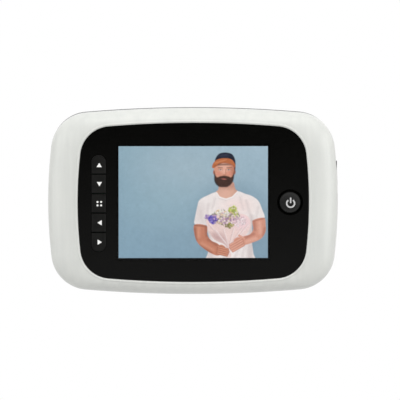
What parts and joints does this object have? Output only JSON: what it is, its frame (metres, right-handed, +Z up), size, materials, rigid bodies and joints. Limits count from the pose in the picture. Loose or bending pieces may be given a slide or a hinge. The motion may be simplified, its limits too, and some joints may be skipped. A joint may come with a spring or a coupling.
{
  "type": "digital door viewer",
  "caption": "Door peephole with a camera outside, a threaded sleeve through the door, and an indoor monitor with a lit display.",
  "frame": {"origin": "on the peephole's axis, in the plane of the door's inner face", "axes": "+Y through the door to the outside, +Z up; the monitor faces the room along -Y"},
  "size_m": [0.1362, 0.0865, 0.0874],
  "materials": {
    "silver_paint": "satin metallic silver paint",
    "rear_shell": "fine texture, dark grey",
    "black_gloss": "polished black",
    "clear_acrylic": "clear",
    "key_black": "satin black",
    "display": "lit display",
    "diffuser": "white",
    "steel": "bare",
    "spring_steel": "nickel plated",
    "circuit_board": "green solder mask",
    "chip": "moulded",
    "connector": "moulded, off-white",
    "foam": "black foam",
    "adhesive": "white foam tape",
    "cell_jacket": "printed sleeve, plain",
    "cast_zinc": "satin nickel plating",
    "nut_metal": "bare, turned",
    "seal": "black",
    "lens_glass": "polished",
    "lens_black": "black",
    "flat_lead": "polyimide film",
    "card_black": "plain, unmarked"
  },
  "bodies": {
    "bracket": {"mounting_plate": "steel", "adhesive_pad": "adhesive", "camera_ribbon": "flat_lead"},
    "monitor": {"lead_plug": "connector", "lead_socket": "connector", "front_frame": "silver_paint", "rear_case": "rear_shell", "face_panel": "black_gloss", "display_window": "clear_acrylic", "display_gasket": "foam", "display_frame": "steel", "display_glass": "display", "backlight": "diffuser", "display_foam": "foam", "main_board": "circuit_board", "processor": "chip", "memory_chip": "chip", "charging_socket": "steel", "card_socket": "steel", "case_screws": "steel", "board_screws": "steel", "battery_plates": "spring_steel", "battery_springs": "spring_steel", "key_switches": "chip", "power_switch": "chip", "battery_1": "cell_jacket", "battery_2": "cell_jacket", "battery_3": "cell_jacket", "battery_4": "cell_jacket"},
    "sleeve_nut": {"sleeve_nut": "nut_metal"},
    "camera": {"camera_head": "cast_zinc", "door_gasket": "seal", "camera_board": "circuit_board", "lens_holder": "lens_black", "lens_barrel": "lens_black", "dome_lens": "lens_glass", "lens_ring": "lens_black"},
    "battery_cover": {"battery_cover": "rear_shell"},
    "memory_card": {"memory_card": "card_black"},
    "power_key": {"power_button": "key_black", "power_plunger": "connector"},
    "up_key": {"key_up": "key_black", "plunger_up": "connector"},
    "down_key": {"key_down": "key_black", "plunger_down": "connector"},
    "menu_key": {"key_menu": "key_black", "plunger_menu": "connector"},
    "left_key": {"key_left": "key_black", "plunger_left": "connector"},
    "right_key": {"key_right": "key_black", "plunger_right": "connector"}
  },
  "joints": [
    {"name": "monitor_lift", "type": "slide", "parent": "bracket", "child": "monitor", "axis": [0, 0, 1], "range_m": [0, 0.005], "deforming": ["camera_ribbon"]},
    {"name": "nut_turn", "type": "hinge", "parent": "bracket", "child": "sleeve_nut", "pos_m": [0, 0, 0], "axis": [0, 1, 0], "range_deg": [-4320, 3600]},
    {"name": "camera_slide", "type": "slide", "parent": "bracket", "child": "camera", "axis": [0, 1, 0], "range_m": [-0.01, 0.012], "deforming": ["camera_ribbon"]},
    {"name": "battery_cover_slide", "type": "slide", "parent": "monitor", "child": "battery_cover", "axis": [0, 0, -1], "range_m": [0, 0.036]},
    {"name": "memory_card_slide", "type": "slide", "parent": "monitor", "child": "memory_card", "axis": [1, 0, 0], "range_m": [0, 0.015]},
    {"name": "power_press", "type": "slide", "parent": "monitor", "child": "power_key", "axis": [0, 1, 0], "range_m": [0, 0.0004], "stiffness_N_per_m": 1500, "springref_m": -0.0003},
    {"name": "up_press", "type": "slide", "parent": "monitor", "child": "up_key", "axis": [0, 1, 0], "range_m": [0, 0.0004], "stiffness_N_per_m": 1500, "springref_m": -0.0003},
    {"name": "down_press", "type": "slide", "parent": "monitor", "child": "down_key", "axis": [0, 1, 0], "range_m": [0, 0.0004], "stiffness_N_per_m": 1500, "springref_m": -0.0003},
    {"name": "menu_press", "type": "slide", "parent": "monitor", "child": "menu_key", "axis": [0, 1, 0], "range_m": [0, 0.0004], "stiffness_N_per_m": 1500, "springref_m": -0.0003},
    {"name": "left_press", "type": "slide", "parent": "monitor", "child": "left_key", "axis": [0, 1, 0], "range_m": [0, 0.0004], "stiffness_N_per_m": 1500, "springref_m": -0.0003},
    {"name": "right_press", "type": "slide", "parent": "monitor", "child": "right_key", "axis": [0, 1, 0], "range_m": [0, 0.0004], "stiffness_N_per_m": 1500, "springref_m": -0.0003}
  ],
  "couplings": [
    {"joint": "nut_turn", "follows": "camera_slide", "rad_per_m": -6283.2}
  ]
}
